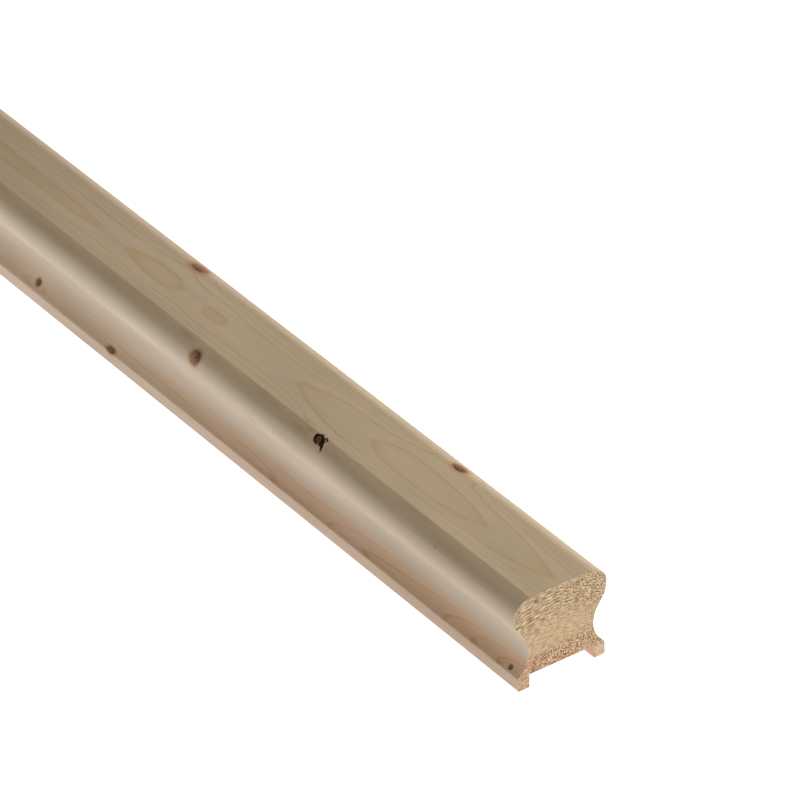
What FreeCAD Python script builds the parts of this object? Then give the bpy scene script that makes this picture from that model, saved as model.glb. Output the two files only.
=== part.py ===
# Stair handrail: one length of softwood, moulded to a single section from end to end.
# The section has a flat-topped crown with rounded shoulders, a finger cove down each side,
# and a groove along the underside, between two legs, that takes the heads of the spindles.
# X runs along the rail, Y across it and Z up. The rail lies on its legs, and the origin is
# the middle of its underside, halfway along.
import FreeCAD, Part
import math
import os

import Sketcher
from FreeCAD import Vector

# Driving dimensions in millimetres: alias, size, what it measures.
DIMENSIONS = [
    ("rail_length", 2400.0, "length of the rail as sold"),
    ("rail_height", 56.0, "underside of the legs to the flat top"),
    ("groove_width", 41.0, "width of the spindle groove"),
    ("groove_depth", 8.0, "depth of the spindle groove"),
    ("leg_width", 7.25, "thickness of the leg on each side of the groove"),
    ("lip_height", 8.0, "height of the upright edge of the base"),
    ("cove_depth", 7.0, "how far the neck lies in from the edge of the base"),
    ("cove_radius", 18.0, "radius of the finger cove"),
    ("crown_overhang", 1.75, "how far the crown stands out past the base"),
    ("crown_drop", 10.0, "flat top down to the widest line of the crown"),
    ("shoulder_width", 10.5, "widest line of the crown in to the edge of the flat top"),
    ("shoulder_radius", 24.0, "radius of the shoulder beside the flat top"),
    ("crown_radius", 8.5, "radius that turns the shoulder down into the crown's side"),
    ("arris_radius", 0.8, "easing of the long corners of the base"),
]

# Two places this close, in millimetres, are the same.
SAME_PLACE = 0.001

# Ends and centre of a sketched edge, as a constraint names them.
START, END, CENTRE = 1, 2, 3
ORIGIN = (-1, START)

# Half widths of the section, as expressions on the sheet.
HALF_GROOVE = "Dimensions.groove_width / 2"
HALF_BASE = f"({HALF_GROOVE} + Dimensions.leg_width)"
HALF_NECK = f"({HALF_BASE} - Dimensions.cove_depth)"
HALF_CROWN = f"({HALF_BASE} + Dimensions.crown_overhang)"
HALF_TOP = f"({HALF_CROWN} - Dimensions.shoulder_width)"


def make_sheet(doc):
    """The spreadsheet of driving dimensions, one aliased cell to a row."""
    sheet = doc.addObject("Spreadsheet::Sheet", "Dimensions")
    for row, (alias, size, meaning) in enumerate(DIMENSIONS, start=1):
        sheet.set(f"A{row}", meaning)
        sheet.set(f"B{row}", str(size))
        sheet.setAlias(f"B{row}", alias)
    doc.recompute()
    return sheet


def origin_plane(body, role):
    """One of the body's own origin planes."""
    return next(plane for plane in body.Origin.OriginFeatures if plane.Role == role)


def meeting_point(centre_a, radius_a, centre_b, radius_b):
    """Where two circles meet, on the left of the line from the first centre to the second."""
    line = centre_b - centre_a
    gap = line.Length
    along = (radius_a**2 - radius_b**2 + gap**2) / (2 * gap)
    aside = math.sqrt(radius_a**2 - along**2)
    unit = line / gap
    return centre_a + unit * along + Vector(-unit.y, unit.x, 0) * aside


def arc(centre, start, end):
    """A counter-clockwise arc about a centre, from one point to the direction of another."""
    first = math.atan2(start.y - centre.y, start.x - centre.x)
    last = math.atan2(end.y - centre.y, end.x - centre.x)
    if last < first:
        last += 2 * math.pi
    circle = Part.Circle(centre, Vector(0, 0, 1), (start - centre).Length)
    return Part.ArcOfCircle(circle, first, last)


def half_section_edges(sheet):
    """The edges of the section's +Y half, in order round it from the groove's roof.

    They start where the sizes put them, so that the constraints only have to hold them there.
    """
    half_groove = sheet.groove_width / 2
    half_base = half_groove + sheet.leg_width
    half_neck = half_base - sheet.cove_depth
    half_crown = half_base + sheet.crown_overhang

    roof = Vector(half_groove, sheet.groove_depth, 0)
    leg_inner = Vector(half_groove, 0, 0)
    leg_outer = Vector(half_base, 0, 0)
    lip_top = Vector(half_base, sheet.lip_height, 0)
    widest = Vector(half_crown, sheet.rail_height - sheet.crown_drop, 0)
    top_edge = Vector(half_crown - sheet.shoulder_width, sheet.rail_height, 0)

    # The cove's circle passes through the top of the lip, with its deepest point at the neck.
    cove_reach = half_neck + sheet.cove_radius - half_base
    cove_rise = math.sqrt(sheet.cove_radius**2 - cove_reach**2)
    cove_centre = Vector(half_neck + sheet.cove_radius, sheet.lip_height + cove_rise, 0)

    # The crown's side is upright at its widest line and runs into the cove with no corner.
    to_cove = widest - cove_centre
    side_radius = (to_cove.Length**2 - sheet.cove_radius**2) / (2 * (half_crown - half_neck))
    side_centre = widest - Vector(side_radius, 0, 0)
    reach = (side_centre - cove_centre).normalize()
    turn = cove_centre + reach * sheet.cove_radius

    # Above the widest line a tight arc turns into the wider one of the shoulder.
    crown_centre = widest - Vector(sheet.crown_radius, 0, 0)
    inside = sheet.shoulder_radius - sheet.crown_radius
    shoulder_centre = meeting_point(crown_centre, inside, top_edge, sheet.shoulder_radius)
    outward = (crown_centre - shoulder_centre).normalize()
    shoulder_foot = crown_centre + outward * sheet.crown_radius

    return {
        "roof": Part.LineSegment(Vector(0, sheet.groove_depth, 0), roof),
        "groove_wall": Part.LineSegment(roof, leg_inner),
        "foot": Part.LineSegment(leg_inner, leg_outer),
        "lip": Part.LineSegment(leg_outer, lip_top),
        "cove": arc(cove_centre, turn, lip_top),
        "crown_side": arc(side_centre, turn, widest),
        "crown_corner": arc(crown_centre, widest, shoulder_foot),
        "shoulder": arc(shoulder_centre, shoulder_foot, top_edge),
        "top": Part.LineSegment(top_edge, Vector(0, sheet.rail_height, 0)),
        "middle": Part.LineSegment(
            Vector(0, sheet.rail_height, 0), Vector(0, sheet.groove_depth, 0)
        ),
    }


def draw_half_section(body, sheet):
    """The sketch of the section's +Y half, with every size bound to the sheet."""
    sketch = body.newObject("Sketcher::SketchObject", "HalfSection")
    sketch.AttachmentSupport = (origin_plane(body, "YZ_Plane"), "")
    sketch.MapMode = "FlatFace"
    edge = {
        name: sketch.addGeometry(shape, False)
        for name, shape in half_section_edges(sheet).items()
    }

    def hold(kind, *places):
        sketch.addConstraint(Sketcher.Constraint(kind, *places))

    def size(kind, *places, to):
        """A dimension made at the size that is drawn, then bound to an expression on the sheet."""
        if kind == "Radius":
            drawn = sketch.Geometry[places[0]].Radius
        else:
            step = sketch.getPoint(*places[2:]) - sketch.getPoint(*places[:2])
            drawn = step.x if kind == "DistanceX" else step.y
        index = sketch.addConstraint(Sketcher.Constraint(kind, *places, drawn))
        sketch.setExpression(f"Constraints[{index}]", to)

    for before, after in (
        ("roof", "groove_wall"), ("groove_wall", "foot"), ("foot", "lip"),
        ("shoulder", "top"), ("top", "middle"), ("middle", "roof"),
    ):
        hold("Coincident", edge[before], END, edge[after], START)
    hold("Coincident", edge["lip"], END, edge["cove"], END)
    hold("Tangent", edge["cove"], START, edge["crown_side"], START)
    hold("Tangent", edge["crown_side"], END, edge["crown_corner"], START)
    hold("Tangent", edge["crown_corner"], END, edge["shoulder"], START)
    for level in ("roof", "foot", "top"):
        hold("Horizontal", edge[level])
    for upright in ("groove_wall", "lip"):
        hold("Vertical", edge[upright])
    hold("Horizontal", edge["crown_corner"], CENTRE, edge["crown_corner"], START)
    hold("PointOnObject", edge["top"], END, -2)
    hold("PointOnObject", edge["middle"], END, -2)
    hold("PointOnObject", edge["foot"], START, -1)

    size("DistanceX", *ORIGIN, edge["foot"], START, to=HALF_GROOVE)
    size("DistanceX", *ORIGIN, edge["lip"], START, to=HALF_BASE)
    size("DistanceX", *ORIGIN, edge["crown_side"], END, to=HALF_CROWN)
    size("DistanceX", *ORIGIN, edge["top"], START, to=HALF_TOP)
    size("DistanceX", *ORIGIN, edge["cove"], CENTRE, to=f"{HALF_NECK} + Dimensions.cove_radius")
    size("DistanceY", *ORIGIN, edge["roof"], START, to="Dimensions.groove_depth")
    size("DistanceY", *ORIGIN, edge["lip"], END, to="Dimensions.lip_height")
    size("DistanceY", *ORIGIN, edge["top"], END, to="Dimensions.rail_height")
    size("DistanceY", edge["crown_side"], END, edge["top"], START, to="Dimensions.crown_drop")
    size("Radius", edge["cove"], to="Dimensions.cove_radius")
    size("Radius", edge["crown_corner"], to="Dimensions.crown_radius")
    size("Radius", edge["shoulder"], to="Dimensions.shoulder_radius")
    return sketch


def mould_rail(body, sheet):
    """The half section run the length of the rail, then mirrored across its middle plane."""
    half = body.newObject("PartDesign::Pad", "HalfRail")
    half.Profile = draw_half_section(body, sheet)
    half.SideType = "Symmetric"
    half.setExpression("Length", "Dimensions.rail_length")
    rail = body.newObject("PartDesign::Mirrored", "WholeRail")
    rail.Originals = [half]
    rail.MirrorPlane = (origin_plane(body, "XZ_Plane"), [""])
    rail.Refine = True
    body.Tip = rail
    body.Document.recompute()
    return rail


def base_corners(rail, sheet):
    """Names of the rail's long corners that are eased: both corners of each leg, and the lips."""
    half_groove = sheet.groove_width / 2
    half_base = half_groove + sheet.leg_width
    corners = [(half_groove, 0), (half_base, 0), (half_base, sheet.lip_height)]

    def is_corner(edge):
        middle = edge.CenterOfMass
        return edge.Length > sheet.rail_length - SAME_PLACE and any(
            math.hypot(abs(middle.y) - y, middle.z - z) < SAME_PLACE for y, z in corners
        )

    edges = enumerate(rail.Shape.Edges, start=1)
    return [f"Edge{number}" for number, edge in edges if is_corner(edge)]


def ease_corners(body, rail, sheet):
    """The base's long corners, rounded over as they leave the moulder."""
    eased = body.newObject("PartDesign::Fillet", "EasedRail")
    eased.Base = (rail, base_corners(rail, sheet))
    eased.setExpression("Radius", "Dimensions.arris_radius")
    body.Tip = eased
    body.Document.recompute()


def check(doc, pieces):
    """Stops the build if a feature failed or a piece is not one sound solid."""
    for item in doc.Objects:
        if {"Invalid", "Error"} & set(item.State):
            raise RuntimeError(f"{item.Name} did not build: {item.State}")
    for piece in pieces:
        shape = piece.Shape
        if shape.isNull() or not shape.isValid() or len(shape.Solids) != 1:
            raise RuntimeError(f"{piece.Label} is not one valid solid")


doc = FreeCAD.newDocument("StairHandrail")
sheet = make_sheet(doc)
handrail = doc.addObject("PartDesign::Body", "Handrail")
handrail.Label = "handrail"
ease_corners(handrail, mould_rail(handrail, sheet), sheet)
pieces = [handrail]
check(doc, pieces)

os.makedirs("parts", exist_ok=True)
for piece in pieces:
    piece.Shape.exportStep(f"parts/{piece.Label}.step")
    box = piece.Shape.BoundBox
    print(
        f"{piece.Label}: {box.XLength:.2f} x {box.YLength:.2f} x {box.ZLength:.2f} mm,"
        f" {piece.Shape.Volume / 1e6:.4f} litres, {len(piece.Shape.Faces)} faces"
    )
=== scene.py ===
# A stair handrail in planed pine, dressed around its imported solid. Metres, in the part's own frame:
# X runs along the rail, Y across it and Z up, with the origin on the floor halfway along.
import math
import random

import bpy
import numpy as np
from mathutils import Matrix, Vector, geometry, noise


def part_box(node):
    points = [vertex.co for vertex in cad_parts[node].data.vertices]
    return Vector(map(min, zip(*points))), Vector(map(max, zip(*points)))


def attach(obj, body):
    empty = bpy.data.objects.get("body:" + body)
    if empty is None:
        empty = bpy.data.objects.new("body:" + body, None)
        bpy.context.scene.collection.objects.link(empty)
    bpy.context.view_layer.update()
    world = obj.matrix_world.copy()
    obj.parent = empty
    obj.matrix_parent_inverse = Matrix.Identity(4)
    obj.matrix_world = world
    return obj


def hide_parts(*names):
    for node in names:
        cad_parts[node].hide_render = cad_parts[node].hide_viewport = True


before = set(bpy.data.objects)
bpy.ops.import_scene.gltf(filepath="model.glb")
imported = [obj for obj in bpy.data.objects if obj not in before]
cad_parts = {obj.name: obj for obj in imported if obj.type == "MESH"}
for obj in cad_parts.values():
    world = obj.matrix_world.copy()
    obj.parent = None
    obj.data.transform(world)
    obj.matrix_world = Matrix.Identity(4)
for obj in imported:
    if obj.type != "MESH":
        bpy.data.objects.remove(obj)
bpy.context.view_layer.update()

# The rail
# One length of slow-grown pine, run through a moulder whose cutters plane the whole section in one
# pass, then cross-cut with a coarse saw. It is bare wood: silky along its length, torn at the ends.
# Its sizes are in millimetres, and its mesh is turned to metres when it is made.
MM = 0.001
rail_low, rail_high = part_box("handrail")
LENGTH = (rail_high.x - rail_low.x) / MM
HALF_LENGTH = LENGTH / 2
HALF_CROWN = (rail_high.y - rail_low.y) / 2 / MM
HEIGHT = (rail_high.z - rail_low.z) / MM
HALF_GROOVE = 20.5
GROOVE_DEPTH = 8.0
HALF_BASE = 27.75
LIP_HEIGHT = 8.0
HALF_NECK = 20.75
COVE_RADIUS = 18.0
CROWN_DROP = 10.0
CROWN_RADIUS = 8.5
HALF_TOP = 19.0
SHOULDER_RADIUS = 24.0
ARRIS_RADIUS = 0.8

# How far apart the section's points are, from the hidden flats to the knotty shoulders.
COARSE_STEP = 4.0
PLAIN_STEP = 1.8
FINE_STEP = 0.6


def arc(centre, start, end, turn, step):
    """Points of an arc from start to end, without the last. Turn is 1 for counter-clockwise."""
    first = math.atan2(start.y - centre.y, start.x - centre.x)
    sweep = (math.atan2(end.y - centre.y, end.x - centre.x) - first) * turn % math.tau
    radius = (start - centre).length
    count = max(2, math.ceil(radius * sweep / step))
    angles = [first + turn * sweep * i / count for i in range(count)]
    return [centre + radius * Vector((math.cos(a), math.sin(a))) for a in angles]


def run(start, end, step):
    """Points of a straight run from start to end, without the last."""
    count = max(1, math.ceil((end - start).length / step))
    return [start.lerp(end, i / count) for i in range(count)]


def half_section():
    """The section's +Y half from the groove's roof round to the top, and where its corners are."""
    roof = Vector((HALF_GROOVE, GROOVE_DEPTH))
    widest = Vector((HALF_CROWN, HEIGHT - CROWN_DROP))
    top_edge = Vector((HALF_TOP, HEIGHT))

    # The cove passes through the top of the lip, and the crown's side runs into it with no corner.
    cove_reach = HALF_NECK + COVE_RADIUS
    cove_rise = math.sqrt(COVE_RADIUS**2 - (cove_reach - HALF_BASE) ** 2)
    cove = Vector((cove_reach, LIP_HEIGHT + cove_rise))
    side_radius = ((widest - cove).length ** 2 - COVE_RADIUS**2) / (2 * (HALF_CROWN - HALF_NECK))
    side = widest - Vector((side_radius, 0))
    meet = cove + (side - cove).normalized() * COVE_RADIUS

    # Above its widest line the crown turns in by a tight arc and then the wide one of the shoulder.
    crown = widest - Vector((CROWN_RADIUS, 0))
    inside = SHOULDER_RADIUS - CROWN_RADIUS
    line = top_edge - crown
    along = (inside**2 - SHOULDER_RADIUS**2 + line.length**2) / (2 * line.length)
    aside = math.sqrt(inside**2 - along**2)
    unit = line.normalized()
    shoulder = crown + unit * along + Vector((-unit.y, unit.x)) * aside
    shoulder_foot = crown + (crown - shoulder).normalized() * CROWN_RADIUS

    # The long corners of the base are eased by a small radius.
    ease = ARRIS_RADIUS
    ease_step = ease / 2
    leg_in = Vector((HALF_GROOVE, 0))
    leg_out = Vector((HALF_BASE, 0))
    lip_drop = math.sqrt((COVE_RADIUS + ease) ** 2 - (cove.x - HALF_BASE + ease) ** 2)
    lip = Vector((HALF_BASE - ease, cove.y - lip_drop))
    lip_end = lip + (cove - lip).normalized() * ease
    lip_top = Vector((HALF_BASE, lip.y))
    wall_end = leg_in + Vector((0, ease))
    sole_start = leg_in + Vector((ease, 0))
    sole_end = leg_out - Vector((ease, 0))
    lip_start = leg_out + Vector((0, ease))

    points = run(Vector((0, GROOVE_DEPTH)), roof, COARSE_STEP)
    corners = [len(points)]
    points += run(roof, wall_end, COARSE_STEP)
    points += arc(leg_in + Vector((ease, ease)), wall_end, sole_start, 1, ease_step)
    points += run(sole_start, sole_end, COARSE_STEP)
    points += arc(leg_out + Vector((-ease, ease)), sole_end, lip_start, 1, ease_step)
    points += run(lip_start, lip_top, PLAIN_STEP)
    points += arc(lip, lip_top, lip_end, 1, ease_step)
    points += arc(cove, lip_end, meet, -1, PLAIN_STEP)
    points += arc(side, meet, widest, 1, PLAIN_STEP)
    points += arc(crown, widest, shoulder_foot, 1, FINE_STEP)
    points += arc(shoulder, shoulder_foot, top_edge, 1, FINE_STEP)
    corners.append(len(points))
    points += run(top_edge, Vector((0, HEIGHT)), PLAIN_STEP)
    return points, corners


half, half_corners = half_section()
top_middle = len(half)
outline = half + [Vector((0, HEIGHT))] + [Vector((-p.x, p.y)) for p in half[:0:-1]]
COLUMNS = len(outline)
corners = half_corners + [COLUMNS - c for c in half_corners]

# The girth is measured round the section from the middle of the top, towards -Y and down.
section = np.array([tuple(p) for p in outline])
steps = np.linalg.norm(np.roll(section, -1, axis=0) - section, axis=1)
PERIMETER = steps.sum()
walked = np.concatenate([[0], np.cumsum(steps)[:-1]])
girth = walked - walked[top_middle]
tangent = np.roll(section, -1, axis=0) - np.roll(section, 1, axis=0)
tangent /= np.linalg.norm(tangent, axis=1)[:, None]
outward = np.stack([tangent[:, 1], -tangent[:, 0]], axis=1)

# Knots are branches that the moulder cut across. Each has its place along the rail and round the girth,
# its half size both ways, how dark it is and how far that stains the wood round it, to which side it
# darkens (along the rail, round the girth), how far it pulls the rings, and how far it has sunk.
knots = [
    dict(x=1015.5, girth=22.3, along=3.7, round=3.0, tone=0.6, stain=0.4,
         lean=(0, 0), pull=4.4, sunk=0),
    dict(x=905.2, girth=29.2, along=4.8, round=4.6, tone=0.35, stain=0.45,
         lean=(0.6, -0.4), pull=3.0, sunk=0.15),
    dict(x=736.7, girth=71.2, along=2.6, round=2.4, tone=0.5, stain=0.6,
         lean=(0.1, 0), pull=2.0, sunk=0.12),
    dict(x=816.0, girth=75.7, along=3.7, round=1.8, tone=0.55, stain=0.8,
         lean=(0.2, -0.2), pull=1.5, sunk=0.15),
    dict(x=1191.0, girth=74.2, along=1.7, round=1.5, tone=0.6, stain=0.5,
         lean=(0, 0), pull=1.2, sunk=0.1),
    dict(x=838.0, girth=-20.8, along=6.5, round=3.4, tone=0.3, stain=0.7,
         lean=(0, 0.5), pull=2.7, sunk=0.2),
    dict(x=1084.0, girth=-20.8, along=5.6, round=3.0, tone=0.6, stain=0.6,
         lean=(0, 0.5), pull=3.6, sunk=0.2),
    dict(x=962.0, girth=-70.0, along=4.0, round=3.4, tone=0.5, stain=0.6,
         lean=(0.3, 0), pull=2.5, sunk=0.15),
    dict(x=1136.0, girth=-62.0, along=3.2, round=3.0, tone=0.4, stain=0.5,
         lean=(0.3, 0), pull=2.0, sunk=0.15),
]
dead_knot = knots[0]

# Other knots are strewn over the rest of the rail, one to each equal length of it.
SEED = 11
OTHER_KNOTS = 14
OTHER_FROM = -1130
OTHER_STRETCH = 1720
OTHER_PULL = 0.8
OTHER_SUNK = 0.03
chance = random.Random(SEED)
for i in range(OTHER_KNOTS):
    size = chance.uniform(1.8, 5.5)
    knots.append(dict(
        x=OTHER_FROM + OTHER_STRETCH * (i + chance.uniform(0.1, 0.9)) / OTHER_KNOTS,
        girth=chance.uniform(-80, 80),
        along=size * chance.uniform(1.0, 1.3),
        round=size,
        tone=chance.uniform(0.35, 0.85),
        stain=chance.uniform(0.2, 0.9),
        lean=(chance.uniform(-0.1, 0.4), chance.uniform(-0.2, 0.2)),
        pull=OTHER_PULL * size,
        sunk=OTHER_SUNK * size,
    ))

# Brown streaks of resin beside the knots and along the rings, with their places and half sizes likewise.
resin = [
    dict(x=1008.5, girth=21.2, along=3.2, round=0.8, stain=0.3),
    dict(x=1000.0, girth=17.0, along=5.0, round=0.6, stain=0.2),
    dict(x=961.5, girth=40.5, along=3.0, round=1.2, stain=0.2),
    dict(x=999.0, girth=23.6, along=5.0, round=0.5, stain=0.25),
    dict(x=966.0, girth=21.5, along=9.0, round=1.3, stain=0.15),
    dict(x=889.0, girth=21.6, along=4.0, round=1.0, stain=0.25),
    dict(x=1105.0, girth=20.8, along=12.0, round=1.0, stain=0.16),
    dict(x=1129.0, girth=29.0, along=1.2, round=0.6, stain=0.4),
    dict(x=1140.0, girth=29.4, along=45.0, round=0.4, stain=0.16),
    dict(x=1010.0, girth=75.6, along=60.0, round=0.7, stain=0.2),
    dict(x=1161.0, girth=75.6, along=2.2, round=0.7, stain=0.35),
    dict(x=1183.0, girth=75.6, along=2.0, round=0.7, stain=0.3),
]

# Stations along the rail, close together at the knots and closest at the dead one.
STATION_STEP = 25.0
KNOT_SPREAD = 1.7
KNOT_STEP = 0.5
KNOT_STEPS = 3
DEAD_SPREAD = 9.0
DEAD_STEP = 0.45
MIN_STATION_GAP = 0.3
stations = list(np.linspace(-HALF_LENGTH, HALF_LENGTH, round(LENGTH / STATION_STEP) + 1))
for knot in knots:
    spread = DEAD_SPREAD if knot is dead_knot else knot["along"] * KNOT_SPREAD
    step = DEAD_STEP if knot is dead_knot else max(KNOT_STEP, knot["along"] / KNOT_STEPS)
    count = round(spread / step)
    stations += [knot["x"] + spread * i / count for i in range(-count, count + 1)]
stations = np.array(sorted(x for x in stations if abs(x) <= HALF_LENGTH))
stations = stations[np.concatenate([[True], np.diff(stations) > MIN_STATION_GAP])]
stations[-1] = HALF_LENGTH
ROWS = len(stations)

# How far the surface lies under the planed one, at each station and point of the section.
SUNK_EDGE = 1.15
SUNK_SLOPE = 0.3
recess = np.zeros((ROWS, COLUMNS))
for knot in knots:
    across = (girth[None, :] - knot["girth"]) / knot["round"]
    along = (stations[:, None] - knot["x"]) / knot["along"]
    recess += knot["sunk"] * np.clip((SUNK_EDGE - np.hypot(along, across)) / SUNK_SLOPE, 0, 1)

# The dead knot is loose in its hole. A black gap runs askew round it, closed on one side, with a loop beside
# it and a crack below. What is left of the knot is a plate, a little sunk, and its edges are ragged.
GAP_DEPTH = 0.9
GAP_SKEW = math.radians(36)
GAP_ALONG = 3.5
GAP_ROUND = 2.2
GAP_SHARE = 0.34
GAP_CLOSED = 0.8
CLOSED_WAY = math.radians(24)
CLOSED_SPREAD = math.radians(25)
RIPPLE = 0.08
FINE_RIPPLE = 0.05
PLATE_DEPTH = 0.28
PLATE_EDGE = 0.2
along = stations[:, None] - dead_knot["x"]
across = girth[None, :] - dead_knot["girth"]
askew_along = along * math.cos(GAP_SKEW) + across * math.sin(GAP_SKEW)
askew_across = across * math.cos(GAP_SKEW) - along * math.sin(GAP_SKEW)
way = np.arctan2(askew_across, askew_along)
ripple = 1 + RIPPLE * np.sin(3 * way + 1.0) + FINE_RIPPLE * np.sin(5 * way)
reach = np.hypot(askew_along / GAP_ALONG, askew_across / GAP_ROUND) / ripple
closed = GAP_CLOSED * np.exp(-(((way - CLOSED_WAY) / CLOSED_SPREAD) ** 2))
gap = np.exp(-(((reach - 1) / GAP_SHARE) ** 2)) * (1 - closed)
plate = np.clip((1 - reach) / PLATE_EDGE, 0, 1)
LOOP_ALONG = 3.7
LOOP_ROUND = -1.5
LOOP_SIZE = 1.5
LOOP_SHARE = 0.36
LOOP_DEPTH = 0.85
loop_reach = np.hypot(along - LOOP_ALONG, across - LOOP_ROUND) / LOOP_SIZE
loop = LOOP_DEPTH * np.exp(-(((loop_reach - 1) / LOOP_SHARE) ** 2))
CRACK_START = np.array((3.0, -0.6))
CRACK_LINE = np.array((3.8, 4.9))
CRACK_HALF = 1.4
CRACK_NARROWS = 0.4
CRACK_SHALLOWS = 0.3
share = (along - CRACK_START[0]) * CRACK_LINE[0] + (across - CRACK_START[1]) * CRACK_LINE[1]
share = np.clip(share / (CRACK_LINE @ CRACK_LINE), 0, 1)
off_crack = np.hypot(
    along - CRACK_START[0] - share * CRACK_LINE[0],
    across - CRACK_START[1] - share * CRACK_LINE[1],
)
crack_half = CRACK_HALF * (1 - CRACK_NARROWS * share)
crack = np.exp(-((off_crack / crack_half) ** 2)) * (1 - CRACK_SHALLOWS * share)
BREAK_SIZE = 1.0
BREAK_SHARE = 0.8
ragged = np.ones((ROWS, COLUMNS))
for i, j in np.argwhere(np.hypot(along, across) < DEAD_SPREAD):
    ragged[i, j] += BREAK_SHARE * noise.noise(Vector((stations[i], girth[j], 0)) / BREAK_SIZE)
gap = GAP_DEPTH * ragged * np.maximum(np.maximum(gap, loop), crack)
recess += np.maximum(gap, PLATE_DEPTH * ragged * plate)

vertices = np.zeros((ROWS, COLUMNS, 3))
vertices[..., 0] = stations[:, None]
vertices[..., 1] = section[None, :, 0] - recess * outward[None, :, 0]
vertices[..., 2] = section[None, :, 1] - recess * outward[None, :, 1]
points = vertices.reshape(-1, 3).tolist()
recess = recess.ravel().tolist()
bark = plate.ravel().tolist()
sawn = [0.0] * len(points)

faces = []
for i in range(ROWS - 1):
    for j in range(COLUMNS):
        k = (j + 1) % COLUMNS
        faces.append((i * COLUMNS + j, i * COLUMNS + k, (i + 1) * COLUMNS + k, (i + 1) * COLUMNS + j))
LONG_FACES = len(faces)

# The pith, the middle of the trunk, ran just under the rail, so the growth rings arch over the section.
# They are wide inside and crowd together towards the top, and the first line is the ring that touches it.
# The grain's rise, in rings, says how they wander along the rail, which draws the flames and eyes on the
# flat top. Low down they wander in their own way.
PITH_Y = -0.4
PITH_Z = -18.0
RING_WIDTH = 2.1
CROWDING = 1.17
CROWD_REACH = 1.67
RING_OFFSET = 100.97
FIRST_LINE = HEIGHT - PITH_Z
LOW_Z = 14.0
HIGH_Z = 40.0
LOW_RISE = [
    (-1200, 0.0), (-900, 1.5), (-560, -1.0), (-300, 0.6), (40, -1.4), (330, 0.8), (600, -0.6),
    (760, -0.2), (860, 0.3), (940, 0.1), (975, 0.42), (1003, 0.75), (1030, 0.42), (1063, -0.55),
    (1100, -0.9), (1125, -1.3), (1135, -1.53), (1158, -2.5), (1182, -3.45), (1200, -4.1),
]
GRAIN_SPLIT = 640
GRAIN_RISE = [
    (-1200, 0.1), (-1060, -0.6), (-930, 0.2), (-820, -0.4), (-640, 0.5), (-520, -0.1), (-380, -1.1),
    (-230, -0.2), (-120, -0.5), (60, 0.6), (170, 0.1), (300, -0.8), (420, -0.35), (520, -0.5),
    (640, -0.25), (690, -0.215), (740, -0.17), (760, -0.065), (772, 0.02), (785, 0.11), (797, 0.035),
    (808, -0.06), (825, -0.215), (838, -0.21), (846, -0.05), (852, 0.08), (861, 0.16), (871, 0.11),
    (880, -0.02), (890, -0.015), (897, 0.13), (912, 0.25), (935, 0.265), (957, 0.2), (967.5, 0.06),
    (975, -0.06), (985, -0.33), (1001, -0.67), (1015, -0.77), (1028, -0.84), (1036, -0.95),
    (1042, -1.08), (1050, -1.3), (1068, -1.43), (1085, -1.42), (1102, -1.35), (1118, -1.19),
    (1128, -1.05), (1133, -0.975), (1143, -0.88), (1157, -0.66), (1173, -0.29), (1188, -0.07),
    (1194, 0.01), (1200, 0.07),
]


def ring_count(y, z, rise, low_rise):
    """Rings from the pith out to a point of the section, as the wood's nodes count them."""
    past = math.hypot(y - PITH_Y, z - PITH_Z) - FIRST_LINE
    crowded = CROWDING * (math.exp(past / CROWD_REACH) - 1)
    risen = np.interp(z, (LOW_Z, HIGH_Z), (low_rise, rise))
    return past / RING_WIDTH + crowded + risen + RING_OFFSET


# The saw left the ends rough. It combed fine ridges along the rings and tore small pits out of the soft
# wood, coarse near the top and in the heart, fine in between, and with more pits towards +Y.
TEAR_LONG = 2.4
TEAR_SHORT = 0.9
PIT_SIZE = 1.1
SMOOTH_MIDDLE = 29.0
SMOOTH_HALF = 11.0
SMOOTHEST = 0.3
LATE_FROM = 0.5
LATE_BLEND = 0.3
MEAN_DEPTH = 0.2
MOST_DEPTH = 0.6
SOFT_DEPTH = 0.06
COMBED_DEPTH = 0.18
PIT_DEPTH = 0.1
MORE_PIT_DEPTH = 0.18
COMBED_SEED = 3.1
PIT_SEED = 7


def sawn_depth(y, z, rise, low_rise, seed):
    """How deep the saw cut at a point of an end, in millimetres from its proudest."""
    turn = math.atan2(y - PITH_Y, z - PITH_Z)
    radius = math.hypot(y - PITH_Y, z - PITH_Z)
    combed = noise.noise(Vector((turn * radius / TEAR_LONG, radius / TEAR_SHORT, seed)))
    pitted = noise.noise(Vector((y / PIT_SIZE, z / PIT_SIZE, seed + PIT_SEED)))
    phase = ring_count(y, z, rise, low_rise) % 1.0
    soft = 1 - np.clip((phase - LATE_FROM) / LATE_BLEND, 0, 1)
    coarse = np.clip(abs(z - SMOOTH_MIDDLE) / SMOOTH_HALF, SMOOTHEST, 1)
    pit_depth = PIT_DEPTH + MORE_PIT_DEPTH * np.clip(y / HALF_TOP, 0, 1)
    depth = MEAN_DEPTH + coarse * (SOFT_DEPTH * soft + COMBED_DEPTH * combed + pit_depth * pitted)
    return float(np.clip(depth, 0.0, MOST_DEPTH))


def inside_section(y, z):
    """Whether points lie within the section, by counting the edges above them."""
    inside = np.zeros(len(y), bool)
    for a, b in zip(section, np.roll(section, -1, axis=0)):
        if a[0] != b[0]:
            spans = (a[0] > y) != (b[0] > y)
            height = a[1] + (y - a[0]) * (b[1] - a[1]) / (b[0] - a[0])
            inside ^= spans & (z < height)
    return inside


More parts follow.
